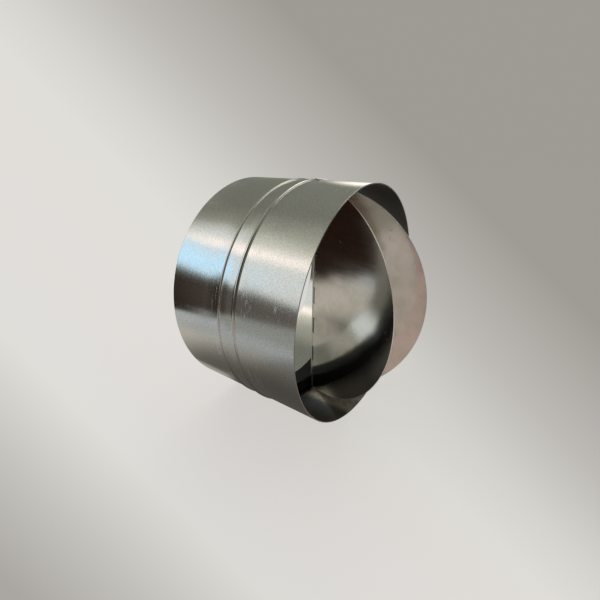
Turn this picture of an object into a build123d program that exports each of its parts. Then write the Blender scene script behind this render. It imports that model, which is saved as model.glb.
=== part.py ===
# Backdraft damper for a round duct: a short galvanised sleeve with two rolled beads, a seal
# ring inside it, and two half-round blades that swing on one upright rod across the duct.
# Millimetres. +X is the way the air flows, out of the mouth, and +Z runs along the rod.
# The origin is the centre of the inlet end.
import os
from math import cos, radians, sin, sqrt

from build123d import *

# Sleeve
duct_bore = 150.0
spigot_play = 0.35
sleeve_length = 91.0
sleeve_wall = 0.6

# Rolled beads, placed back from the outlet mouth
outlet_bead_setback = 39.2
inlet_bead_setback = 50.7
bead_width = 3.4
bead_height = 0.85
bead_foot_radius = 3.0

# Hinge rod
rod_setback = 38.0
rod_radius = 1.2
rod_hole_play = 0.1
head_radius = 1.7
head_rise = 0.2
head_seat_gap = 0.03

# Blades and the eyes rolled on their straight edges
blade_thickness = 0.4
blade_edge_gap = 0.95
eye_play = 0.06
eye_wrap = 275.0
eye_count = 13
eye_end_gap = 0.5
edge_cutback = 2.1
slit_relief = 1.1
near_rest_angle = 20.6
far_rest_angle = 11.2

# Seal ring
seal_width = 12.5
seal_depth = 8.1
seal_corner_radius = 0.9
closing_gap = 0.3

# Sizes that follow from the ones above
outer_radius = duct_bore / 2 - spigot_play
inner_radius = outer_radius - sleeve_wall
rod_x = sleeve_length - rod_setback
bead_positions = [sleeve_length - inlet_bead_setback, sleeve_length - outlet_bead_setback]
bead_arc_radius = ((bead_width / 2) ** 2 + bead_height ** 2) / (2 * bead_height)
bead_arc_centre = outer_radius + bead_height - bead_arc_radius
crest_radius = outer_radius + bead_height
blade_radius = inner_radius - blade_edge_gap
eye_bore_radius = rod_radius + eye_play
eye_outer_radius = eye_bore_radius + blade_thickness
eye_pitch = 2 * blade_radius / eye_count
seal_outlet_face = rod_x - eye_outer_radius - closing_gap
seal_inlet_face = seal_outlet_face - seal_width
seal_inner_radius = inner_radius - seal_depth


def sheet_surface(lift, far_radius):
    # Half section of all that lies between one surface of the sheet and far_radius.
    # lift is how far that surface stands out from the sleeve's outer one.
    # Each bead is a round hump that sweeps down to the plain tube over a soft foot.
    radius = outer_radius + lift
    arc_radius = bead_arc_radius + lift
    half_width = sqrt(arc_radius ** 2 - (radius - bead_arc_centre) ** 2)
    edges = []
    feet = []
    start = (0, radius)
    for x in bead_positions:
        foot = (x - half_width, radius)
        crest = (x, bead_arc_centre + arc_radius)
        far_foot = (x + half_width, radius)
        edges.append(Line(start, foot))
        edges.append(ThreePointArc(foot, crest, far_foot))
        feet += [foot[0], far_foot[0]]
        start = far_foot
    edges.append(Line(start, (sleeve_length, radius)))
    edges.append(Line((sleeve_length, radius), (sleeve_length, far_radius)))
    edges.append(Line((sleeve_length, far_radius), (0, far_radius)))
    edges.append(Line((0, far_radius), (0, radius)))
    section = make_face(edges)
    corners = []
    for vertex in section.vertices():
        if abs(vertex.Y - radius) < 1e-4 and min(abs(vertex.X - x) for x in feet) < 1e-4:
            corners.append(vertex)
    return fillet(corners, bead_foot_radius - lift)


def turn_round_duct(profile):
    # The profile is drawn with X along the duct and Y as the radius.
    return revolve(profile, axis=Axis.X, revolution_arc=360)


def make_sleeve():
    # The sheet keeps its thickness over the beads, so its inside follows its outside.
    filled = turn_round_duct(sheet_surface(0, 0))
    hollow = turn_round_duct(sheet_surface(-sleeve_wall, 0))
    sleeve = filled - hollow
    # Holes for the rod, pierced opposite each other through the upper and lower wall
    drill = Cylinder(rod_radius + rod_hole_play, 2 * crest_radius + 4)
    return sleeve - Pos(rod_x, 0, 0) * drill


def make_seal():
    # A soft strip stuck round the bore, upstream of the closed blades.
    height = seal_depth
    middle_x = (seal_inlet_face + seal_outlet_face) / 2
    middle_r = inner_radius - seal_depth / 2
    strip = Pos(middle_x, middle_r) * Rectangle(seal_width, height)
    inner_corners = strip.vertices().sort_by(Axis.Y)[:2]
    strip = fillet(inner_corners, seal_corner_radius)
    return turn_round_duct(strip)


def make_rod():
    # The rod's ends are spread into low round heads that lie on the outlet bead.
    sleeve_space = turn_round_duct(sheet_surface(head_seat_gap, 0))
    head_top = crest_radius + head_rise
    head_bottom = outer_radius - 1.0
    crown = (head_radius ** 2 + head_rise ** 2) / (2 * head_rise)
    section = make_face([
        Line((0, head_bottom), (head_radius, head_bottom)),
        Line((head_radius, head_bottom), (head_radius, crest_radius)),
        RadiusArc((head_radius, crest_radius), (0, head_top), -crown),
        Line((0, head_top), (0, head_bottom)),
    ])
    head = revolve(Plane.XZ * section, axis=Axis.Z, revolution_arc=360)
    head = Pos(rod_x, 0, 0) * head - sleeve_space
    lower_head = mirror(head, about=Plane.XY)
    shank = Pos(rod_x, 0, 0) * Cylinder(rod_radius, 2 * crest_radius)
    return shank + head + lower_head


def eye_section():
    # One rolled eye seen along the rod: the sheet lies on +Y and curls round behind the rod.
    end = radians(90 + eye_wrap)
    mid = radians(90 + eye_wrap / 2)
    inner, outer = eye_bore_radius, eye_outer_radius
    lap = edge_cutback + slit_relief
    return make_face([
        Line((lap, inner), (0, inner)),
        ThreePointArc((0, inner), (inner * cos(mid), inner * sin(mid)),
                      (inner * cos(end), inner * sin(end))),
        Line((inner * cos(end), inner * sin(end)), (outer * cos(end), outer * sin(end))),
        ThreePointArc((outer * cos(end), outer * sin(end)),
                      (outer * cos(mid), outer * sin(mid)), (0, outer)),
        Line((0, outer), (lap, outer)),
        Line((lap, outer), (lap, inner)),
    ])


def make_blade(first_eye):
    # Built flat with the rod along Z at the origin and the blade pointing along +X.
    own = range(first_eye, eye_count, 2)
    middle = (eye_count - 1) / 2
    disc = Circle(blade_radius)
    keep = Pos(blade_radius / 2, 0) * Rectangle(blade_radius, 2 * blade_radius + 2)
    outline = disc & keep
    for index in range(eye_count):
        centre = (index - middle) * eye_pitch
        if index not in own:
            notch = Rectangle(2 * edge_cutback, eye_pitch + eye_end_gap)
            outline -= Pos(0, centre) * notch
        if index > 0:
            slit = Rectangle(2 * (edge_cutback + slit_relief), eye_end_gap)
            outline -= Pos(0, centre - eye_pitch / 2) * slit
    plate = extrude(Plane.XZ * outline, amount=-blade_thickness)
    blade = Pos(0, eye_bore_radius, 0) * plate
    eye_length = eye_pitch - eye_end_gap
    for index in own:
        centre = (index - middle) * eye_pitch
        eye = extrude(Plane.XY * eye_section(), amount=eye_length)
        blade += Pos(0, 0, centre - eye_length / 2) * eye
    return blade


def place_blade(blade, angle):
    return Pos(rod_x, 0, 0) * Rot(0, 0, angle) * blade


sleeve = make_sleeve()
seal_ring = make_seal()
hinge_rod = make_rod()
far_blade = place_blade(make_blade(0), far_rest_angle)
near_blade = place_blade(mirror(make_blade(1), about=Plane.XZ), -near_rest_angle)

nodes = {
    "sleeve": sleeve,
    "seal_ring": seal_ring,
    "hinge_rod": hinge_rod,
    "near_blade": near_blade,
    "far_blade": far_blade,
}

os.makedirs("parts", exist_ok=True)
for name, shape in nodes.items():
    solids = shape.solids()
    print(name, len(solids), "solid", round(sum(s.volume for s in solids), 1), "mm3")
    export_step(solids[0] if len(solids) == 1 else Compound(children=solids), f"parts/{name}.step")
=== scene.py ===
import bpy
from math import asin, cos, pi, radians, sin, sqrt
from mathutils import Euler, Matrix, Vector


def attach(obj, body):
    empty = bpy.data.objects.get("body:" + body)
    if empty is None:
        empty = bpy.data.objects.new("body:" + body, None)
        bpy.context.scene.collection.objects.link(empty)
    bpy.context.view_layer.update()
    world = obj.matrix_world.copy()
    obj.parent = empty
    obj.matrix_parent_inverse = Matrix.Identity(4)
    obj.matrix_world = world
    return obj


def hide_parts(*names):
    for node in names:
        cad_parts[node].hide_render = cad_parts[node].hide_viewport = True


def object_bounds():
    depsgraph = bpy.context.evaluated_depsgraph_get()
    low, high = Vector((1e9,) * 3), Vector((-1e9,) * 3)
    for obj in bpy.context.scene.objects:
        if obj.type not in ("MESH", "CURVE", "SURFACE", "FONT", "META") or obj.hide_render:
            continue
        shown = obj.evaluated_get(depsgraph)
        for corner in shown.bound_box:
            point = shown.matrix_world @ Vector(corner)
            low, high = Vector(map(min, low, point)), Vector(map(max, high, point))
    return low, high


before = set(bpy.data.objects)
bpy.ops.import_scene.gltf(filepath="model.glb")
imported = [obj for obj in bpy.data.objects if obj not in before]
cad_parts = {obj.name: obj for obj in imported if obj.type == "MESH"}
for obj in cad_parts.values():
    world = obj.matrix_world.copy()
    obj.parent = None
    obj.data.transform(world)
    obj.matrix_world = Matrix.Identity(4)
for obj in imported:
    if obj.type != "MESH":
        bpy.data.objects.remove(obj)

bpy.context.view_layer.update()
cadLow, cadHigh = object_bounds()
print("frame loaded, nodes:", sorted(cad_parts))

# The duct lies along X with its mouth at +X, and the hinge rod stands along Z. Sizes are metres,
# tones are linear, and angles are degrees, with azimuths counted from +X towards +Y.
# A name that ends in From, Below or Within holds the two values between which something fades
# in as a place or a noise rises, as it falls, or as it comes near.
floorHeight = cadLow[2]

photoView = {
    "place": (0.17989, -0.19264, 0.08784),
    "turn": (68.1405, -0.3280, 35.9537),
    "lens": 21.5135,  # Millimetres, as the sensor's width is
    "sensorWidth": 36.0,
    "shift": (-0.0006, 0.0008),
    "clip": (0.01, 30.0),
}


def makeCamera():
    bpy.ops.object.camera_add(location=photoView["place"])
    camera = bpy.context.object
    camera.name = "photoCamera"
    camera.rotation_euler = [radians(angle) for angle in photoView["turn"]]
    camera.data.sensor_width = photoView["sensorWidth"]
    camera.data.lens = photoView["lens"]
    camera.data.shift_x, camera.data.shift_y = photoView["shift"]
    camera.data.clip_start, camera.data.clip_end = photoView["clip"]
    camera.data.dof.use_dof = False
    bpy.context.scene.camera = camera
    print("camera made")


makeCamera()


# The shapes come first, because the table's shade and the marks in the finishes follow them
sleeveShape = {
    "length": 0.091,
    "outerRadius": 0.07465,
    "wall": 0.0006,
    "inletBead": {
        "place": 0.0393, "height": 0.00060,
        "inletSide": {"halfWidth": 0.00075, "foot": 0.00025},
        "mouthSide": {"halfWidth": 0.00074, "foot": 0.00040},
    },
    "outletBead": {
        "place": 0.0506, "height": 0.00085,
        "inletSide": {"halfWidth": 0.00088, "foot": 0.00025},
        "mouthSide": {"halfWidth": 0.00150, "foot": 0.00060},
    },
    "swellBetween": 0.00008,
    "segments": 360,
    "footSteps": 5,
    "crownSteps": 9,
    "plainSteps": 4,
    "swellSteps": 12,
    "rimSteps": (0.00025, 0.0007),
    "edgeBreak": 0.00009,
    "edgeSegments": 2,
    "edgeAngle": 60,
}

rodShape = {
    "place": 0.053,
    "radius": 0.0012,
    "headRadius": 0.0017,
    "headBase": 0.07450,
    "headShoulder": 0.07530,
    "headTop": 0.07568,
    # The head's rounded top, as shares of its rise and of its width
    "crownShape": ((0.45, 0.86), (0.80, 0.62), (1.0, 0.28)),
    "segments": 48,
}

smoothAngle = 40  # Edges that turn less than this are shaded smooth
doublesWithin = 1e-6


# Small helpers for node trees
def addNode(tree, kind, inputs=None, **settings):
    node = tree.nodes.new(kind)
    for name, value in settings.items():
        setattr(node, name, value)
    for key, value in (inputs or {}).items():
        if isinstance(value, bpy.types.NodeSocket):
            tree.links.new(value, node.inputs[key])
        else:
            node.inputs[key].default_value = value
    return node


def mathNode(tree, operation, first, second=0.0, third=0.0, clamp=False):
    node = addNode(tree, "ShaderNodeMath", {0: first, 1: second, 2: third},
                   operation=operation, use_clamp=clamp)
    return node.outputs[0]


def timesNode(tree, first, second):
    return mathNode(tree, "MULTIPLY", first, second)


def vectorNode(tree, operation, first, second=(0.0, 0.0, 0.0)):
    node = addNode(tree, "ShaderNodeVectorMath", {0: first, 1: second}, operation=operation)
    isNumber = operation in ("DOT_PRODUCT", "DISTANCE", "LENGTH")
    return node.outputs["Value" if isNumber else "Vector"]


def splitNode(tree, vector):
    return addNode(tree, "ShaderNodeSeparateXYZ", {0: vector}).outputs


def joinNode(tree, x=0.0, y=0.0, z=0.0):
    return addNode(tree, "ShaderNodeCombineXYZ", {0: x, 1: y, 2: z}).outputs[0]


def rangeNode(tree, value, fromLow, fromHigh, toLow=0.0, toHigh=1.0):
    node = addNode(tree, "ShaderNodeMapRange", {
        "Value": value, "From Min": fromLow, "From Max": fromHigh,
        "To Min": toLow, "To Max": toHigh,
    }, interpolation_type="SMOOTHSTEP")
    return node.outputs["Result"]


def withinNode(tree, value, near, far):
    # 1 while the value is nearer to 0 than the near limit, falling to 0 at the far one
    return rangeNode(tree, mathNode(tree, "ABSOLUTE", value), near, far, 1.0, 0.0)


def bandNode(tree, value, middle, halfWidth):
    # 1 at the middle, falling softly to 0 at its sides
    away = mathNode(tree, "SUBTRACT", value, middle)
    return withinNode(tree, away, 0.5 * halfWidth, halfWidth)


def softStep(tree, value, middle, softness, falling=False):
    # From 0 to 1, or from 1 to 0, over the softness on both sides of the middle
    start = mathNode(tree, "SUBTRACT", middle, softness)
    end = mathNode(tree, "ADD", middle, softness)
    return rangeNode(tree, value, start, end, *((1.0, 0.0) if falling else (0.0, 1.0)))


def mixColour(tree, factor, first, second, blend="MIX"):
    inputs = {0: factor, 6: first, 7: second}
    for key in (6, 7):
        if not isinstance(inputs[key], bpy.types.NodeSocket):
            inputs[key] = (*inputs[key], 1.0)
    node = addNode(tree, "ShaderNodeMix", inputs, data_type="RGBA", blend_type=blend)
    return node.outputs[2]


def noiseNode(tree, vector, scale, detail=2.0, roughness=0.5, distortion=0.0):
    node = addNode(tree, "ShaderNodeTexNoise", {
        "Vector": vector, "Scale": scale, "Detail": detail,
        "Roughness": roughness, "Distortion": distortion,
    })
    return node.outputs["Fac"]


def bumpNode(tree, height, distance, **inputs):
    node = addNode(tree, "ShaderNodeBump", {"Height": height, "Distance": distance,
                                            "Strength": 1.0, **inputs})
    return node.outputs[0]


def newGroup(name, inputs, outputs):
    group = bpy.data.node_groups.new(name, "ShaderNodeTree")
    for socketName, kind, value in inputs:
        socket = group.interface.new_socket(name=socketName, in_out="INPUT", socket_type=kind)
        if value is not None:
            socket.default_value = value
    for socketName in outputs:
        group.interface.new_socket(name=socketName, in_out="OUTPUT",
                                   socket_type="NodeSocketFloat")
    source = group.nodes.new("NodeGroupInput")
    sink = group.nodes.new("NodeGroupOutput")
    return group, source.outputs, sink.inputs


def useGroup(tree, group, inputs):
    return addNode(tree, "ShaderNodeGroup", inputs, node_tree=group).outputs


# The backdrop fades along the picture's diagonal, counted in frame widths from its middle.
# Outside the photo's own view it is one plain tone, and viewFrom is how far that reaches,
# as cosines from the middle of the view.
backdrop = {
    "plainTone": (0.56, 0.55, 0.52),
    "viewFrom": (0.30, 0.60),
    "leastAhead": 0.05,
    "fadeStops": (
        (-0.96, (0.405, 0.390, 0.365)),
        (-0.75, (0.560, 0.548, 0.518)),
        (-0.55, (0.738, 0.731, 0.698)),
        (-0.29, (0.753, 0.723, 0.700)),
        (-0.08, (0.745, 0.731, 0.694)),
        (0.04, (0.665, 0.658, 0.624)),
        (0.21, (0.509, 0.492, 0.465)),
        (0.46, (0.341, 0.328, 0.297)),
    ),
}


def backdropTone(tree, direction):
    # Where this direction falls on the picture's diagonal, seen from the photo's place
    turn = Euler([radians(angle) for angle in photoView["turn"]]).to_matrix()
    diagonal = (turn @ Vector((1, 1, 0))) * photoView["lens"] / photoView["sensorWidth"]
    forward = turn @ Vector((0, 0, -1))
    across = vectorNode(tree, "DOT_PRODUCT", direction, diagonal)
    ahead = vectorNode(tree, "DOT_PRODUCT", direction, forward)
    ahead = mathNode(tree, "MAXIMUM", ahead, backdrop["leastAhead"])
    # The ramp runs from 0 to 1, and the stops from -1 to 1
    place = mathNode(tree, "MULTIPLY_ADD", mathNode(tree, "DIVIDE", across, ahead), 0.5, 0.5)
    ramp = addNode(tree, "ShaderNodeValToRGB", {"Fac": place})
    stops = ramp.color_ramp.elements
    while len(stops) < len(backdrop["fadeStops"]):
        stops.new(0.5)
    for stop, (where, tone) in zip(stops, backdrop["fadeStops"]):
        stop.position = where / 2 + 0.5
        stop.color = (*tone, 1.0)
    unit = vectorNode(tree, "NORMALIZE", direction)
    inView = rangeNode(tree, vectorNode(tree, "DOT_PRODUCT", unit, forward), *backdrop["viewFrom"])
    return mixColour(tree, inView, backdrop["plainTone"], ramp.outputs["Color"])


# The metal sees a dim room with wide soft windows
roomLook = {
    "upperTone": (0.205, 0.208, 0.168),
    "lowerTone": (0.245, 0.240, 0.200),
    "upperFrom": (2.5, 12.0),
    # The lower part is darker under the windows, and towards the camera and the mouth
    "windowAzimuth": -140,
    "underWindowTone": (0.018, 0.008, 0.005),
    "underWindowFrom": (-46.0, -28.0),
    "underCameraTone": (0.135, 0.117, 0.102),
    "underCameraFrom": (-8.0, 14.0),
    "mouthAzimuth": -20,
    "underMouthTone": (0.15, 0.060, 0.045),
    "underMouthWithin": (25.0, 50.0),
    # Behind the camera all of it is darker still, up to some height
    "cameraAzimuth": -75,
    "cameraSideTone": (0.055, 0.052, 0.048),
    "cameraSideWithin": (22.0, 40.0),
    "cameraSideBelow": (68.0, 50.0),
    # What lights the floor and the seal: a broad soft key from behind and above, and a fill
    "keyDirection": (-0.30, 0.52, 0.80),
    "keyFrom": (0.62, 0.98),
    "keyLevel": 2.1,
    "fillLevel": 0.42,
}

# Each box's lower and upper edges stand at low and high, and tilt slopes them along its width
softBoxes = {
    "windowHaze": {
        "tone": (0.42, 0.42, 0.35), "azimuth": -138, "halfWidth": 36, "sideSoft": 20,
        "low": 20, "high": 66, "lowSoft": 8.0, "highSoft": 12, "tilt": 0.0,
    },
    "windowGlow": {
        "tone": (0.78, 0.78, 0.64), "azimuth": -136, "halfWidth": 22, "sideSoft": 14,
        "low": 20, "high": 49, "lowSoft": 8.0, "highSoft": 6, "tilt": 0.0,
    },
    "windowPale": {
        "tone": (0.90, 0.93, 0.90), "azimuth": -137, "halfWidth": 27, "sideSoft": 7,
        "low": 10.4, "high": 38, "lowSoft": 2.3, "highSoft": 6, "tilt": 0.25,
    },
    "windowWarm": {
        "tone": (1.60, 1.43, 1.31), "azimuth": -136, "halfWidth": 20, "sideSoft": 9,
        "low": 33.5, "high": 41, "lowSoft": 3.5, "highSoft": 5, "tilt": -0.3,
    },
    "windowBlue": {
        "tone": (0.80, 1.18, 1.46), "azimuth": -145.5, "halfWidth": 9.5, "sideSoft": 5,
        "low": 12.4, "high": 26, "lowSoft": 2.2, "highSoft": 5, "tilt": 0.40,
    },
    "backHaze": {
        "tone": (0.60, 0.58, 0.50), "azimuth": 158, "halfWidth": 10, "sideSoft": 8,
        "low": 14, "high": 33, "lowSoft": 6.0, "highSoft": 3, "tilt": -0.5,
    },
    "backWindow": {
        "tone": (1.20, 1.30, 1.28), "azimuth": 150, "halfWidth": 7, "sideSoft": 4,
        "low": 8, "high": 22, "lowSoft": 6.0, "highSoft": 3, "tilt": 0.0,
    },
    "farWindow": {
        "tone": (1.72, 1.60, 1.41), "azimuth": 111, "halfWidth": 10, "sideSoft": 3,
        "low": 8, "high": 21, "lowSoft": 4.0, "highSoft": 5, "tilt": 0.0,
    },
    "overheadBox": {
        "tone": (2.5, 2.4, 2.15), "azimuth": 103, "halfWidth": 12, "sideSoft": 6,
        "low": 40, "high": 85, "lowSoft": 8.0, "highSoft": 6, "tilt": 0.0,
    },
    "rearBox": {
        "tone": (0.95, 0.95, 0.90), "azimuth": 40, "halfWidth": 26, "sideSoft": 8,
        "low": 24, "high": 56, "lowSoft": 5.0, "highSoft": 8, "tilt": 0.0,
    },
}


def makeSoftBoxGroup():
    group, given, result = newGroup("softBoxShape", [
        ("Offset", "NodeSocketFloat", 0.0),
        ("Elevation", "NodeSocketFloat", 0.0),
        ("Half Width", "NodeSocketFloat", 10.0),
        ("Side Softness", "NodeSocketFloat", 5.0),
        ("Low Edge", "NodeSocketFloat", 0.0),
        ("High Edge", "NodeSocketFloat", 10.0),
        ("Low Softness", "NodeSocketFloat", 2.0),
        ("High Softness", "NodeSocketFloat", 5.0),
    ], ["Mask"])
    away = mathNode(group, "ABSOLUTE", given["Offset"])
    height = given["Elevation"]
    sides = softStep(group, away, given["Half Width"], given["Side Softness"], falling=True)
    low = softStep(group, height, given["Low Edge"], given["Low Softness"])
    high = softStep(group, height, given["High Edge"], given["High Softness"], falling=True)
    group.links.new(timesNode(group, timesNode(group, low, high), sides), result["Mask"])
    return group


def turnedAzimuth(tree, x, y, centre):
    # Degrees round from the given azimuth, so the place where it wraps is opposite
    along, aside = cos(radians(centre)), sin(radians(centre))
    ahead = mathNode(tree, "ADD", timesNode(tree, x, along), timesNode(tree, y, aside))
    beside = mathNode(tree, "SUBTRACT", timesNode(tree, y, along), timesNode(tree, x, aside))
    return mathNode(tree, "DEGREES", mathNode(tree, "ARCTAN2", beside, ahead))


def roomTone(tree, x, y, z):
    elevation = mathNode(tree, "DEGREES", mathNode(tree, "ARCSINE", z))
    fromWindow = turnedAzimuth(tree, x, y, roomLook["windowAzimuth"])
    fromMouth = turnedAzimuth(tree, x, y, roomLook["mouthAzimuth"])
    fromCamera = turnedAzimuth(tree, x, y, roomLook["cameraAzimuth"])
    underWindow = rangeNode(tree, fromWindow, *roomLook["underWindowFrom"])
    under = mixColour(tree, underWindow, roomLook["lowerTone"], roomLook["underWindowTone"])
    underCamera = rangeNode(tree, fromWindow, *roomLook["underCameraFrom"])
    under = mixColour(tree, underCamera, under, roomLook["underCameraTone"])
    mouthSide = withinNode(tree, fromMouth, *roomLook["underMouthWithin"])
    under = mixColour(tree, mouthSide, under, roomLook["underMouthTone"])
    upper = rangeNode(tree, elevation, *roomLook["upperFrom"])
    room = mixColour(tree, upper, under, roomLook["upperTone"])
    cameraSide = timesNode(tree, withinNode(tree, fromCamera, *roomLook["cameraSideWithin"]),
                           rangeNode(tree, elevation, *roomLook["cameraSideBelow"]))
    room = mixColour(tree, cameraSide, room, roomLook["cameraSideTone"])
    softBox = makeSoftBoxGroup()
    for box in softBoxes.values():
        offset = turnedAzimuth(tree, x, y, box["azimuth"])
        mask = useGroup(tree, softBox, {
            "Offset": offset,
            "Elevation": mathNode(tree, "MULTIPLY_ADD", offset, box["tilt"], elevation),
            "Half Width": box["halfWidth"], "Side Softness": box["sideSoft"],
            "Low Edge": box["low"], "High Edge": box["high"],
            "Low Softness": box["lowSoft"], "High Softness": box["highSoft"],
        })["Mask"]
        room = mixColour(tree, mask, room, box["tone"])
    return room


def makeWorld():
    world = bpy.data.worlds.new("softStudio")
    bpy.context.scene.world = world
    world.use_nodes = True
    tree = world.node_tree
    tree.nodes.clear()
    direction = addNode(tree, "ShaderNodeTexCoord").outputs["Generated"]
    room = roomTone(tree, *splitNode(tree, direction))
    key = Vector(roomLook["keyDirection"]).normalized()
    keyMask = rangeNode(tree, vectorNode(tree, "DOT_PRODUCT", direction, key),
                        *roomLook["keyFrom"])
    light = mathNode(tree, "MULTIPLY_ADD", keyMask, roomLook["keyLevel"], roomLook["fillLevel"])
    lightTone = addNode(tree, "ShaderNodeCombineColor", {0: light, 1: light, 2: light}).outputs[0]
    path = addNode(tree, "ShaderNodeLightPath").outputs
    lit = mixColour(tree, path["Is Glossy Ray"], lightTone, room)
    seen = mixColour(tree, path["Is Camera Ray"], lit, backdropTone(tree, direction))
    background = addNode(tree, "ShaderNodeBackground", {"Color": seen, "Strength": 1.0})
    addNode(tree, "ShaderNodeOutputWorld", {"Surface": background.outputs[0]})
    print("world made")


# The floor is pale paper to the eye. The metal sees a smaller table there, with the room
# beyond it.
tableLook = {
    "floorRadius": 12.0,
    "floorSides": 96,
    "shadowShare": 0.19,  # Of the floor's light that a shadow can take
    "low": (-0.195, -0.62),
    "high": (0.80, 0.68),
    "edge": 0.034,
    "offEdge": 0.048,
    "offEdgeBelow": (-0.24, -0.34),
    # At one place the inlet end of the table comes nearer, with a sharper edge
    "bulgePlace": -0.21,
    "bulge": 0.042,
    "bulgeHalfWidth": 0.055,
    "bulgeSharpens": 0.4,
    # Its tone by the object, and beside that, where it is paler towards the inlet
    "tone": (0.585, 0.545, 0.475),
    "toneFrom": (-0.15, -0.10),
    "inletTone": (0.53, 0.555, 0.56),
    "sideTone": (0.455, 0.475, 0.465),
    "sideFrom": (-0.125, -0.075),
    # Nearest to the camera, and then past the mouth
    "cameraTone": (0.350, 0.360, 0.335),
    "cameraBelow": (-0.17, -0.23),
    "mouthZones": (
        {"tone": (0.505, 0.395, 0.345), "from": (0.06, 0.12)},
        {"tone": (0.375, 0.275, 0.240), "from": (0.140, 0.165)},
        {"tone": (0.13, 0.105, 0.09), "from": (0.20, 0.25)},
    ),
    # On the far side, counted along X and Y together
    "farZones": (
        {"tone": (0.73, 0.655, 0.595), "from": (0.12, 0.24)},
        {"tone": (0.82, 0.735, 0.695), "from": (0.45, 0.75)},
    ),
    # The object's own shade: close along its sides, short at its ends and wider at the mouth
    "inletShade": 0.23,
    "mouthShade": 0.15,
    "mouthShadeFrom": (-0.03, 0.05),
    "pastInlet": 1.6,  # How much one metre past that end counts for, against one aside
    "pastMouth": 14.0,
    "shadeStart": 0.066,
    "inletReach": 0.165,
    "mouthReach": 0.24,
    "mouthReachFrom": (0.0, 0.04),
    # Light falls through the bore onto the table just past the inlet end
    "throughBore": 0.68,
    "throughBelow": (0.012, -0.006),
    "throughFrom": (-0.060, -0.046),
}


def tableExtent(tree, x, y):
    # 1 on the table and 0 beyond it
    bulge = rangeNode(tree, mathNode(tree, "ABSOLUTE",
                                     mathNode(tree, "SUBTRACT", y, tableLook["bulgePlace"])),
                      0.0, tableLook["bulgeHalfWidth"], tableLook["bulge"], 0.0)
    edge = rangeNode(tree, y, *tableLook["offEdgeBelow"], tableLook["edge"], tableLook["offEdge"])
    edge = mathNode(tree, "MULTIPLY_ADD", bulge, -tableLook["bulgeSharpens"], edge)
    starts = (mathNode(tree, "ADD", bulge, tableLook["low"][0]), tableLook["low"][1])
    extent = 1.0
    for value, start, end in zip((x, y), starts, tableLook["high"]):
        extent = timesNode(tree, softStep(tree, value, start, edge), extent)
        extent = timesNode(tree, softStep(tree, value, end, edge, falling=True), extent)
    return extent


def tableTone(tree, x, y):
    side = mixColour(tree, rangeNode(tree, x, *tableLook["sideFrom"]),
                     tableLook["inletTone"], tableLook["sideTone"])
    tone = mixColour(tree, rangeNode(tree, y, *tableLook["toneFrom"]), side, tableLook["tone"])
    tone = mixColour(tree, rangeNode(tree, y, *tableLook["cameraBelow"]),
                     tone, tableLook["cameraTone"])
    both = mathNode(tree, "ADD", x, y)
    for place, zones in ((x, tableLook["mouthZones"]), (both, tableLook["farZones"])):
        for zone in zones:
            tone = mixColour(tree, rangeNode(tree, place, *zone["from"]), tone, zone["tone"])
    return tone


def tableShade(tree, x, y):
    length = sleeveShape["length"]
    pastInlet = mathNode(tree, "MAXIMUM", timesNode(tree, x, -tableLook["pastInlet"]), 0.0)
    pastMouth = mathNode(tree, "MULTIPLY_ADD", x, tableLook["pastMouth"],
                         -tableLook["pastMouth"] * length)
    pastEnds = mathNode(tree, "ADD", pastInlet, mathNode(tree, "MAXIMUM", pastMouth, 0.0))
    distance = vectorNode(tree, "LENGTH", joinNode(tree, x=pastEnds, y=y))
    darkest = rangeNode(tree, x, *tableLook["mouthShadeFrom"],
                        tableLook["inletShade"], tableLook["mouthShade"])
    reach = rangeNode(tree, x, *tableLook["mouthReachFrom"],
                      tableLook["inletReach"], tableLook["mouthReach"])
    shade = rangeNode(tree, distance, tableLook["shadeStart"], reach, darkest, 1.0)
    through = timesNode(tree, rangeNode(tree, x, *tableLook["throughBelow"]),
                        rangeNode(tree, y, *tableLook["throughFrom"],
                                  0.0, tableLook["throughBore"]))
    return mathNode(tree, "MAXIMUM", shade, through)


def makeFloor():
    bpy.ops.object.select_all(action="DESELECT")
    bpy.ops.mesh.primitive_circle_add(
        vertices=tableLook["floorSides"], radius=tableLook["floorRadius"], fill_type="NGON",
        location=(0, 0, floorHeight))
    floor = bpy.context.object
    floor.name = "paleFloor"
    material = bpy.data.materials.new("palePaper")
    material.use_nodes = True
    tree = material.node_tree
    tree.nodes.clear()
    place = addNode(tree, "ShaderNodeTexCoord").outputs["Object"]
    # The direction from the photo's place, so that the floor's fade runs on into the backdrop's
    camera = Vector(photoView["place"]) - Vector((0, 0, floorHeight))
    tone = backdropTone(tree, vectorNode(tree, "SUBTRACT", place, camera))
    x, y = splitNode(tree, place)[:2]
    path = addNode(tree, "ShaderNodeLightPath").outputs
    paper = addNode(tree, "ShaderNodeBsdfDiffuse", {"Color": tone})
    glow = addNode(tree, "ShaderNodeEmission", {"Color": tone, "Strength": 1.0})
    glowShare = timesNode(tree, path["Is Camera Ray"], 1 - tableLook["shadowShare"])
    seen = addNode(tree, "ShaderNodeMixShader",
                   {0: glowShare, 1: paper.outputs[0], 2: glow.outputs[0]})
    table = addNode(tree, "ShaderNodeEmission", {"Color": tableTone(tree, x, y),
                                                 "Strength": tableShade(tree, x, y)})
    beyond = addNode(tree, "ShaderNodeBsdfTransparent")
    mirrored = addNode(tree, "ShaderNodeMixShader",
                       {0: tableExtent(tree, x, y), 1: beyond.outputs[0], 2: table.outputs[0]})
    both = addNode(tree, "ShaderNodeMixShader",
                   {0: path["Is Glossy Ray"], 1: seen.outputs[0], 2: mirrored.outputs[0]})
    addNode(tree, "ShaderNodeOutputMaterial", {"Surface": both.outputs[0]})
    floor.data.materials.append(material)
    print("floor made")


makeWorld()
makeFloor()


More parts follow.
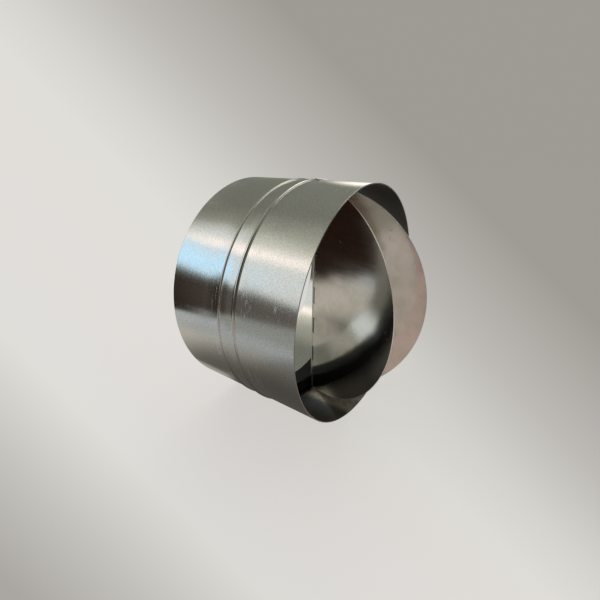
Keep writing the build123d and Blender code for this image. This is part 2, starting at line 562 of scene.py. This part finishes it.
# Effects shared by the metal finishes
grainPattern = {
    "speckStretch": (1.0, 0.45, 0.45),
    "specks": {"detail": 2.5, "roughness": 0.65},
    "streaks": {"detail": 3.0, "roughness": 0.6},
    "driftScale": 28.0,
}


def makeGrainGroup():
    # Fine specks, long streaks and a slow drift: stretch draws the streaks out along an axis
    group, given, result = newGroup("sheetGrain", [
        ("Vector", "NodeSocketVector", None),
        ("Stretch", "NodeSocketVector", (1.0, 1.0, 1.0)),
        ("Speck Scale", "NodeSocketFloat", 1200.0),
        ("Streak Scale", "NodeSocketFloat", 900.0),
    ], ["Specks", "Streaks", "Drift"])
    speckSpace = vectorNode(group, "MULTIPLY", given["Vector"], grainPattern["speckStretch"])
    streakSpace = vectorNode(group, "MULTIPLY", given["Vector"], given["Stretch"])
    specks = noiseNode(group, speckSpace, given["Speck Scale"], **grainPattern["specks"])
    streaks = noiseNode(group, streakSpace, given["Streak Scale"], **grainPattern["streaks"])
    drift = noiseNode(group, given["Vector"], grainPattern["driftScale"])
    for name, value in (("Specks", specks), ("Streaks", streaks), ("Drift", drift)):
        group.links.new(value, result[name])
    return group


scratchPattern = {
    "lines": {"detail": 1.0, "roughness": 0.4, "distortion": 0.6},
    "breakScale": 230.0,
    "unbrokenFrom": (0.56, 0.62),
    "patches": {"scale": 45.0, "detail": 1.0},
    "patchFrom": (1.02, 1.10),  # Less the amount of scratches that a finish asks for
}


def makeScratchGroup():
    # Thin lines where a stretched noise crosses its middle, broken up and kept only in patches
    group, given, result = newGroup("handlingScratches", [
        ("Vector", "NodeSocketVector", None),
        ("Stretch", "NodeSocketVector", (1.0, 1.0, 1.0)),
        ("Scale", "NodeSocketFloat", 60.0),
        ("Width", "NodeSocketFloat", 0.004),
        ("Amount", "NodeSocketFloat", 0.5),
    ], ["Mask"])
    space = vectorNode(group, "MULTIPLY", given["Vector"], given["Stretch"])
    lines = noiseNode(group, space, given["Scale"], **scratchPattern["lines"])
    thin = withinNode(group, mathNode(group, "SUBTRACT", lines, 0.5), 0.0, given["Width"])
    breaks = noiseNode(group, given["Vector"], scratchPattern["breakScale"])
    unbroken = rangeNode(group, breaks, *scratchPattern["unbrokenFrom"])
    patches = noiseNode(group, given["Vector"], **scratchPattern["patches"])
    limits = [mathNode(group, "SUBTRACT", limit, given["Amount"])
              for limit in scratchPattern["patchFrom"]]
    kept = timesNode(group, timesNode(group, thin, unbroken), rangeNode(group, patches, *limits))
    group.links.new(kept, result["Mask"])
    return group


sheetGrain = makeGrainGroup()
handlingScratches = makeScratchGroup()


def newMaterial(name, shaderInputs):
    material = bpy.data.materials.new(name)
    material.use_nodes = True
    tree = material.node_tree
    tree.nodes.clear()
    shader = addNode(tree, "ShaderNodeBsdfPrincipled", shaderInputs)
    addNode(tree, "ShaderNodeOutputMaterial", {"Surface": shader.outputs[0]})
    place = addNode(tree, "ShaderNodeTexCoord").outputs["Object"]
    return material, tree, shader, place


def connect(tree, shader, colour, roughness, normal):
    for name, value in (("Base Color", colour), ("Roughness", roughness), ("Normal", normal)):
        tree.links.new(value, shader.inputs[name])


def varied(tree, level, noise, amount):
    # The level moved up and down by the noise, which has its middle at 0.5
    return mathNode(tree, "MULTIPLY_ADD", mathNode(tree, "SUBTRACT", noise, 0.5), amount, level)


sleeveFinish = {
    "grain": {"Stretch": (1.0, 0.035, 0.035), "Speck Scale": 2600.0, "Streak Scale": 1300.0},
    "grainHeight": 0.000021,
    "streakHeight": 0.000010,
    "zincLight": (0.650, 0.645, 0.630),
    "zincDark": (0.545, 0.543, 0.528),
    "speckTone": (0.745, 0.745, 0.730),
    "speckFrom": (0.38, 0.64),
    # The mouth's side of the outlet bead was rolled harder, so it is duller and streaked
    "rolledFrom": (0.050, 0.060),
    "smoothRoughness": 0.12,
    "rolledRoughness": 0.175,
    "streakRoughness": 0.12,
    "smoothStreaks": 0.3,
    "inwardLimit": -0.03,  # Metres towards the axis, along the normal
    # Past the outlet bead the bore's wall is rougher, and its colour is darkened by a painted shade
    "insideRoughness": 0.42,
    "insideShadeTint": (0.35, 0.34, 0.33),
    # Broken bright rings where the bead rollers rubbed the sheet, partly wear and partly a painted
    # sheen, fainter towards the top
    "rubbedSheenRings": ({"place": 0.0600, "halfWidth": 0.0065}, {"place": 0.0355, "halfWidth": 0.0025}),
    "rubbedFrom": (0.50, 0.60),
    "breakStretch": (1.0, 0.3, 0.3),
    "breakScale": 700.0,
    "unbrokenFrom": (0.42, 0.58),
    "topFrom": (0.02, 0.06),
    "topShare": 0.12,
    "rubbedSheenTone": (0.84, 0.84, 0.82),
    "rubbedSheenShare": 0.55,
    "rubbedRoughness": 0.22,
    # Short nicks where the sleeve was gripped, near the mouth
    "gripPlace": (0.079, -0.072, 0.019),
    "gripWithin": (0.004, 0.008),
    "nicks": {"Stretch": (1.0, 0.6, 0.6), "Scale": 260.0, "Width": 0.06, "Amount": 0.95},
    # The bore is painted darkest low on the near side, a painted shade, and pale dust has settled
    # at its bottom
    "lowShadeTint": (0.47, 0.455, 0.44),
    "lowBelow": (-0.045, -0.062),
    "nearBelow": (-0.010, -0.020),
    "dustTone": (0.70, 0.64, 0.57),
    "dustBelow": (-0.062, -0.069),
    "dustFrom": (-0.016, -0.009),
    "dustClumps": {"scale": 300.0, "detail": 4.0},
    "dustClumpFrom": (0.30, 0.60),
    "dustLeast": 0.5,
    "cutEdge": (0.24, 0.238, 0.232),
    "cutEdgeFrom": (0.8, 0.95),
    # Painted shade: the hollow of the outlet bead inside the bore, beside the seal, is painted dark
    # with a ragged edge
    "hollowShadeTone": (0.030, 0.029, 0.028),
    "hollowShadeSetback": 0.0007,
    "hollowShadeWithin": (0.0018, 0.0024),
    "hollowShadeScale": 160.0,
    "hollowShadeRaggedness": 0.0012,
    "scratches": {"Stretch": (1.0, 0.5, 0.5), "Scale": 70.0, "Width": 0.006, "Amount": 0.45},
    "scratchTone": (0.82, 0.82, 0.80),
    "scratchShare": 0.6,
    "scratchRoughness": 0.15,
}


# Rubbed rings beside the beads, partly a painted sheen, and handling nicks near the grip
def rubbedAndSheenMask(tree, place, x, z, streaks):
    finish = sleeveFinish
    first, second = [bandNode(tree, x, ring["place"], ring["halfWidth"])
                     for ring in finish["rubbedSheenRings"]]
    rings = timesNode(tree, rangeNode(tree, streaks, *finish["rubbedFrom"]),
                      mathNode(tree, "ADD", first, second))
    breaks = noiseNode(tree, vectorNode(tree, "MULTIPLY", place, finish["breakStretch"]),
                       finish["breakScale"])
    rings = timesNode(tree, rings, rangeNode(tree, breaks, *finish["unbrokenFrom"]))
    rings = timesNode(tree, rings, rangeNode(tree, z, *finish["topFrom"], 1.0, finish["topShare"]))
    fromGrip = vectorNode(tree, "DISTANCE", place, finish["gripPlace"])
    gripped = rangeNode(tree, fromGrip, *finish["gripWithin"], 1.0, 0.0)
    nicks = useGroup(tree, handlingScratches, {"Vector": place, **finish["nicks"]})["Mask"]
    return mathNode(tree, "MAXIMUM", rings, timesNode(tree, nicks, gripped))


def makeGalvanised():
    finish = sleeveFinish
    material, tree, shader, place = newMaterial("galvanisedSheet", {"Metallic": 1.0})
    grain = useGroup(tree, sheetGrain, {"Vector": place, **finish["grain"]})
    scratches = useGroup(tree, handlingScratches, {"Vector": place, **finish["scratches"]})["Mask"]
    x, y, z = splitNode(tree, place)
    normal = addNode(tree, "ShaderNodeNewGeometry").outputs["Normal"]
    rolled = rangeNode(tree, x, *finish["rolledFrom"])
    facing = vectorNode(tree, "DOT_PRODUCT", normal, joinNode(tree, y=y, z=z))
    inward = mathNode(tree, "LESS_THAN", facing, finish["inwardLimit"])
    inside = timesNode(tree, inward, rolled)
    rubbedAndSheen = rubbedAndSheenMask(tree, place, x, z, grain["Streaks"])

    colour = mixColour(tree, grain["Drift"], finish["zincLight"], finish["zincDark"])
    specks = rangeNode(tree, grain["Specks"], *finish["speckFrom"])
    colour = mixColour(tree, specks, colour, finish["speckTone"])
    # Painted sheen together with the rubbed wear: brighter rings beside the beads
    colour = mixColour(tree, timesNode(tree, rubbedAndSheen, finish["rubbedSheenShare"]),
                       colour, finish["rubbedSheenTone"])
    # Painted shade: the bore's wall past the outlet bead is darkened
    colour = mixColour(tree, inside, colour, finish["insideShadeTint"], "MULTIPLY")
    # Painted shade: the bore's wall is darkened low on the near side
    lowNearShade = timesNode(tree, rangeNode(tree, z, *finish["lowBelow"]),
                        rangeNode(tree, y, *finish["nearBelow"]))
    colour = mixColour(tree, timesNode(tree, lowNearShade, inside),
                       colour, finish["lowShadeTint"], "MULTIPLY")
    settled = timesNode(tree, rangeNode(tree, z, *finish["dustBelow"]),
                        rangeNode(tree, y, *finish["dustFrom"]))
    clumps = rangeNode(tree, noiseNode(tree, place, **finish["dustClumps"]),
                       *finish["dustClumpFrom"], finish["dustLeast"], 1.0)
    dust = timesNode(tree, timesNode(tree, settled, inside), clumps)
    colour = mixColour(tree, dust, colour, finish["dustTone"])
    endways = mathNode(tree, "ABSOLUTE", splitNode(tree, normal)[0])
    cut = rangeNode(tree, endways, *finish["cutEdgeFrom"])
    colour = mixColour(tree, cut, colour, finish["cutEdge"])
    # Painted shade in the hollow of the outlet bead, beside the seal
    hollow = sleeveShape["outletBead"]["place"] + finish["hollowShadeSetback"]
    fromHollow = mathNode(tree, "ABSOLUTE", mathNode(tree, "SUBTRACT", x, hollow))
    ragged = mathNode(tree, "MULTIPLY_ADD", noiseNode(tree, place, finish["hollowShadeScale"]),
                      finish["hollowShadeRaggedness"], fromHollow)
    hollowShade = timesNode(tree, inward, rangeNode(tree, ragged, *finish["hollowShadeWithin"], 1.0, 0.0))
    colour = mixColour(tree, hollowShade, colour, finish["hollowShadeTone"])
    colour = mixColour(tree, timesNode(tree, scratches, finish["scratchShare"]),
                       colour, finish["scratchTone"])

    rough = rangeNode(tree, rolled, 0.0, 1.0, finish["smoothRoughness"], finish["rolledRoughness"])
    rough = addNode(tree, "ShaderNodeMix",
                    {0: inside, 2: rough, 3: finish["insideRoughness"]}).outputs[0]
    rough = varied(tree, rough, grain["Streaks"], finish["streakRoughness"])
    rough = mathNode(tree, "MULTIPLY_ADD", rubbedAndSheen, finish["rubbedRoughness"], rough)
    rough = mathNode(tree, "MULTIPLY_ADD", scratches, finish["scratchRoughness"], rough,
                     clamp=True)

    streakShare = mathNode(tree, "MULTIPLY_ADD", rolled, 1 - finish["smoothStreaks"],
                           finish["smoothStreaks"])
    height = mathNode(tree, "MULTIPLY_ADD", timesNode(tree, grain["Streaks"], streakShare),
                      finish["streakHeight"] / finish["grainHeight"], grain["Specks"])
    connect(tree, shader, colour, rough, bumpNode(tree, height, finish["grainHeight"]))
    return material


bladeFinish = {
    "grain": {"Stretch": (0.06, 0.06, 1.0), "Speck Scale": 1100.0, "Streak Scale": 700.0},
    "grainHeight": 0.000010,
    "streakShare": 0.5,
    "steelLight": (0.745, 0.722, 0.698),
    "steelDark": (0.655, 0.635, 0.610),
    "roughness": 0.14,
    "streakRoughness": 0.10,
    "mottle": {"scale": 75.0, "detail": 5.0, "roughness": 0.62, "distortion": 0.4},
    "mottleTone": (0.610, 0.610, 0.560),
    "mottleFrom": (0.38, 0.64),
    "scratches": {"Stretch": (1.0, 1.0, 0.55), "Scale": 85.0, "Width": 0.005, "Amount": 0.5},
    "scratchTone": (0.80, 0.78, 0.76),
    "scratchShare": 0.5,
    "scratchRoughness": 0.2,
    # One dark nick in the near blade
    "nickPlace": (0.0930, -0.0160, 0.0190),
    "nickWithin": (0.0002, 0.0006),
    "nickTone": (0.03, 0.03, 0.03),
    "nickShare": 0.75,
    # The rolled eyes round the rod are rubbed duller than the flat sheet
    "eyeWithin": (0.0019, 0.0026),
    "eyeRoughness": 0.22,
    # The sheared round edge is rougher, and painted bright as a painted highlight
    "shearedHighlightTone": (0.95, 0.92, 0.89),
    "shearedFrom": (0.07285, 0.07300),
    "shearedRoughness": 0.32,
    # The sheet isn't quite flat
    "waveScale": 24.0,
    "waveHeight": 0.00055,
}


def makeBladeSteel():
    finish = bladeFinish
    material, tree, shader, place = newMaterial("bladeSheet", {"Metallic": 1.0})
    grain = useGroup(tree, sheetGrain, {"Vector": place, **finish["grain"]})
    scratches = useGroup(tree, handlingScratches, {"Vector": place, **finish["scratches"]})["Mask"]
    x, y, z = splitNode(tree, place)
    acrossRod = joinNode(tree, x=mathNode(tree, "SUBTRACT", x, rodShape["place"]), y=y)
    fromRod = vectorNode(tree, "LENGTH", acrossRod)
    fromMiddle = vectorNode(tree, "LENGTH", joinNode(tree, x=fromRod, y=z))
    eye = rangeNode(tree, fromRod, *finish["eyeWithin"], 1.0, 0.0)
    sheared = rangeNode(tree, fromMiddle, *finish["shearedFrom"])

    colour = mixColour(tree, grain["Drift"], finish["steelLight"], finish["steelDark"])
    mottle = rangeNode(tree, noiseNode(tree, place, **finish["mottle"]), *finish["mottleFrom"])
    colour = mixColour(tree, mottle, colour, finish["mottleTone"])
    colour = mixColour(tree, timesNode(tree, scratches, finish["scratchShare"]),
                       colour, finish["scratchTone"])
    fromNick = vectorNode(tree, "DISTANCE", place, finish["nickPlace"])
    nick = rangeNode(tree, fromNick, *finish["nickWithin"], finish["nickShare"], 0.0)
    colour = mixColour(tree, nick, colour, finish["nickTone"])
    # Painted highlight along the sheared round edge
    colour = mixColour(tree, sheared, colour, finish["shearedHighlightTone"])

    rough = varied(tree, finish["roughness"], grain["Streaks"], finish["streakRoughness"])
    rough = mathNode(tree, "MULTIPLY_ADD", sheared, finish["shearedRoughness"], rough)
    rough = mathNode(tree, "MULTIPLY_ADD", eye, finish["eyeRoughness"], rough)
    rough = mathNode(tree, "MULTIPLY_ADD", scratches, finish["scratchRoughness"], rough,
                     clamp=True)

    height = mathNode(tree, "MULTIPLY_ADD", grain["Streaks"], finish["streakShare"],
                      grain["Specks"])
    waves = bumpNode(tree, noiseNode(tree, place, finish["waveScale"]), finish["waveHeight"])
    connect(tree, shader, colour, rough,
            bumpNode(tree, height, finish["grainHeight"], Normal=waves))
    return material


rodFinish = {
    "grain": {"Stretch": (1.0, 1.0, 0.05), "Speck Scale": 1500.0, "Streak Scale": 1600.0},
    "grainHeight": 0.000012,
    "steelLight": (0.72, 0.72, 0.70),
    "steelDark": (0.56, 0.56, 0.55),
    "roughness": 0.28,
    "speckRoughness": 0.2,
}


def makeRodSteel():
    finish = rodFinish
    material, tree, shader, place = newMaterial("rodSteel", {"Metallic": 1.0})
    grain = useGroup(tree, sheetGrain, {"Vector": place, **finish["grain"]})
    colour = mixColour(tree, grain["Streaks"], finish["steelLight"], finish["steelDark"])
    rough = mathNode(tree, "MULTIPLY_ADD", grain["Specks"], finish["speckRoughness"],
                     finish["roughness"])
    connect(tree, shader, colour, rough, bumpNode(tree, grain["Streaks"], finish["grainHeight"]))
    return material


sealFinish = {
    "darkTone": (0.005, 0.005, 0.005),
    "wornTone": (0.016, 0.015, 0.015),
    "specular": 0.22,
    "roughness": 0.50,
    "wearRoughness": 0.25,
    "wear": {"scale": 120.0, "detail": 3.0},
    "cellScale": 1500.0,
    "cellHeight": 0.00008,
    "wearShare": 0.5,
}


def makeSealRubber():
    finish = sealFinish
    material, tree, shader, place = newMaterial(
        "sealRubber", {"Metallic": 0.0, "Specular IOR Level": finish["specular"]})
    cells = addNode(tree, "ShaderNodeTexVoronoi",
                    {"Vector": place, "Scale": finish["cellScale"]}, feature="F1")
    wear = noiseNode(tree, place, **finish["wear"])
    colour = mixColour(tree, wear, finish["darkTone"], finish["wornTone"])
    rough = mathNode(tree, "MULTIPLY_ADD", wear, finish["wearRoughness"], finish["roughness"])
    height = mathNode(tree, "MULTIPLY_ADD", wear, finish["wearShare"], cells.outputs["Distance"])
    connect(tree, shader, colour, rough, bumpNode(tree, height, finish["cellHeight"]))
    return material


galvanisedSheet = makeGalvanised()
bladeSteel = makeBladeSteel()
rodSteel = makeRodSteel()
sealRubber = makeSealRubber()
print("materials made")


def dressNode(name, material):
    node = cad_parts[name]
    for slot in node.material_slots:
        slot.material = material
    if not node.material_slots:
        node.data.materials.append(material)


dressNode("near_blade", bladeSteel)
dressNode("far_blade", bladeSteel)
dressNode("seal_ring", sealRubber)
print("kept nodes dressed")


# Sleeve: one ring of edges drawn out along the duct and opened or closed at each step
def beadSide(bead, side, direction):
    # Points from the bead's crest down to the plain sheet: a round crown, then a hollow foot
    height = bead["height"]
    foot = side["foot"]
    crown = (side["halfWidth"] ** 2 + height ** 2) / (2 * height)
    reach = sqrt(height * (2 * crown + 2 * foot - height))
    steepest = asin(reach / (crown + foot))
    points = []
    for step in range(1, sleeveShape["crownSteps"] + 1):
        angle = steepest * step / sleeveShape["crownSteps"]
        points.append((crown * sin(angle), height - crown + crown * cos(angle)))
    for step in range(sleeveShape["footSteps"] - 1, -1, -1):
        angle = steepest * step / sleeveShape["footSteps"]
        points.append((reach - foot * sin(angle), foot - foot * cos(angle)))
    return [(bead["place"] + direction * away, rise) for away, rise in points]


def sleeveStations():
    # Places along the duct, each with the sheet's radius there
    length = sleeveShape["length"]
    plainSteps = sleeveShape["plainSteps"]
    rims = sleeveShape["rimSteps"]
    rows = [(0.0, 0.0)] + [(rim, 0.0) for rim in rims]
    # The sheet swells a little between the beads, where the rollers pushed it out
    for bead, swell, steps in (
            (sleeveShape["inletBead"], 0.0, plainSteps),
            (sleeveShape["outletBead"], sleeveShape["swellBetween"], sleeveShape["swellSteps"])):
        inletSide = beadSide(bead, bead["inletSide"], -1)[::-1]
        start = rows[-1][0]
        end = inletSide[0][0]
        rows += [(start + (end - start) * step / steps, swell * sin(pi * step / steps) ** 2)
                 for step in range(1, steps)]
        rows += inletSide + [(bead["place"], bead["height"])]
        rows += beadSide(bead, bead["mouthSide"], 1)
    start = rows[-1][0]
    end = length - rims[-1]
    rows += [(start + (end - start) * step / plainSteps, 0.0) for step in range(1, plainSteps)]
    rows += [(length - rim, 0.0) for rim in reversed(rims)] + [(length, 0.0)]
    return [(station, sleeveShape["outerRadius"] + rise) for station, rise in rows]


def makeSleeve():
    rows = sleeveStations()
    bpy.ops.object.select_all(action="DESELECT")
    bpy.ops.mesh.primitive_circle_add(vertices=sleeveShape["segments"], radius=rows[0][1],
                                      location=(0, 0, 0), rotation=(0, pi / 2, 0))
    sleeve = bpy.context.object
    sleeve.name = "ductSleeve"
    bpy.ops.object.transform_apply(location=False, rotation=True, scale=False)
    bpy.ops.object.mode_set(mode="EDIT")
    bpy.ops.mesh.select_mode(type="EDGE")
    bpy.ops.mesh.select_all(action="SELECT")
    for (x0, r0), (x1, r1) in zip(rows, rows[1:]):
        bpy.ops.mesh.extrude_region_move(TRANSFORM_OT_translate={"value": (x1 - x0, 0, 0)})
        if r1 != r0:
            bpy.ops.transform.resize(value=(1, r1 / r0, r1 / r0), center_override=(x1, 0, 0))
    bpy.ops.mesh.select_all(action="SELECT")
    bpy.ops.mesh.remove_doubles(threshold=doublesWithin)
    bpy.ops.mesh.normals_make_consistent(inside=False)
    bpy.ops.object.mode_set(mode="OBJECT")
    wall = sleeve.modifiers.new("wall", "SOLIDIFY")
    wall.thickness = sleeveShape["wall"]
    wall.offset = -1
    wall.use_even_offset = True
    bpy.ops.object.modifier_apply(modifier="wall")
    edge = sleeve.modifiers.new("edgeBreak", "BEVEL")
    edge.width = sleeveShape["edgeBreak"]
    edge.segments = sleeveShape["edgeSegments"]
    edge.limit_method = "ANGLE"
    edge.angle_limit = radians(sleeveShape["edgeAngle"])
    bpy.ops.object.modifier_apply(modifier="edgeBreak")
    bpy.ops.object.shade_smooth_by_angle(angle=radians(smoothAngle))
    sleeve.data.materials.append(galvanisedSheet)
    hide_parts("sleeve")
    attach(sleeve, "casing")
    print("sleeve made,", len(sleeve.data.polygons), "faces")


makeSleeve()


def makeHingeRod():
    # A bar whose two ends are widened into heads with a rounded top
    leastUpright = 0.9  # Of an end face's normal
    base = rodShape["headBase"]
    shoulder = rodShape["headShoulder"] - base
    crown = rodShape["headTop"] - rodShape["headShoulder"]
    spread = rodShape["headRadius"] / rodShape["radius"]
    bpy.ops.object.select_all(action="DESELECT")
    bpy.ops.mesh.primitive_cylinder_add(
        vertices=rodShape["segments"], radius=rodShape["radius"], depth=2 * base,
        location=(0, 0, 0), end_fill_type="NGON")
    rod = bpy.context.object
    rod.name = "hingeRod"
    bpy.ops.object.mode_set(mode="EDIT")
    bpy.ops.mesh.select_mode(type="FACE")
    for end in (1, -1):
        bpy.ops.mesh.select_all(action="DESELECT")
        bpy.ops.object.mode_set(mode="OBJECT")
        for face in rod.data.polygons:
            face.select = face.normal.z * end > leastUpright
        bpy.ops.object.mode_set(mode="EDIT")
        middle = (0, 0, end * base)
        bpy.ops.mesh.extrude_region_move(TRANSFORM_OT_translate={"value": (0, 0, 0)})
        bpy.ops.transform.resize(value=(spread, spread, 1), center_override=middle)
        bpy.ops.mesh.extrude_region_move(
            TRANSFORM_OT_translate={"value": (0, 0, end * shoulder)})
        risen, width = 0.0, 1.0
        for nextRise, nextWidth in rodShape["crownShape"]:
            bpy.ops.mesh.extrude_region_move(
                TRANSFORM_OT_translate={"value": (0, 0, end * crown * (nextRise - risen))})
            narrower = nextWidth / width
            bpy.ops.transform.resize(value=(narrower, narrower, 1), center_override=middle)
            risen, width = nextRise, nextWidth
    bpy.ops.mesh.select_all(action="SELECT")
    bpy.ops.transform.translate(value=(rodShape["place"], 0, 0))
    bpy.ops.mesh.remove_doubles(threshold=doublesWithin)
    bpy.ops.mesh.normals_make_consistent(inside=False)
    bpy.ops.object.mode_set(mode="OBJECT")
    bpy.ops.object.shade_smooth_by_angle(angle=radians(smoothAngle))
    rod.data.materials.append(rodSteel)
    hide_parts("hinge_rod")
    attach(rod, "casing")
    print("hinge rod made,", len(rod.data.polygons), "faces")


makeHingeRod()

bpy.context.view_layer.update()
bpy.context.scene.view_settings.view_transform = "Standard"
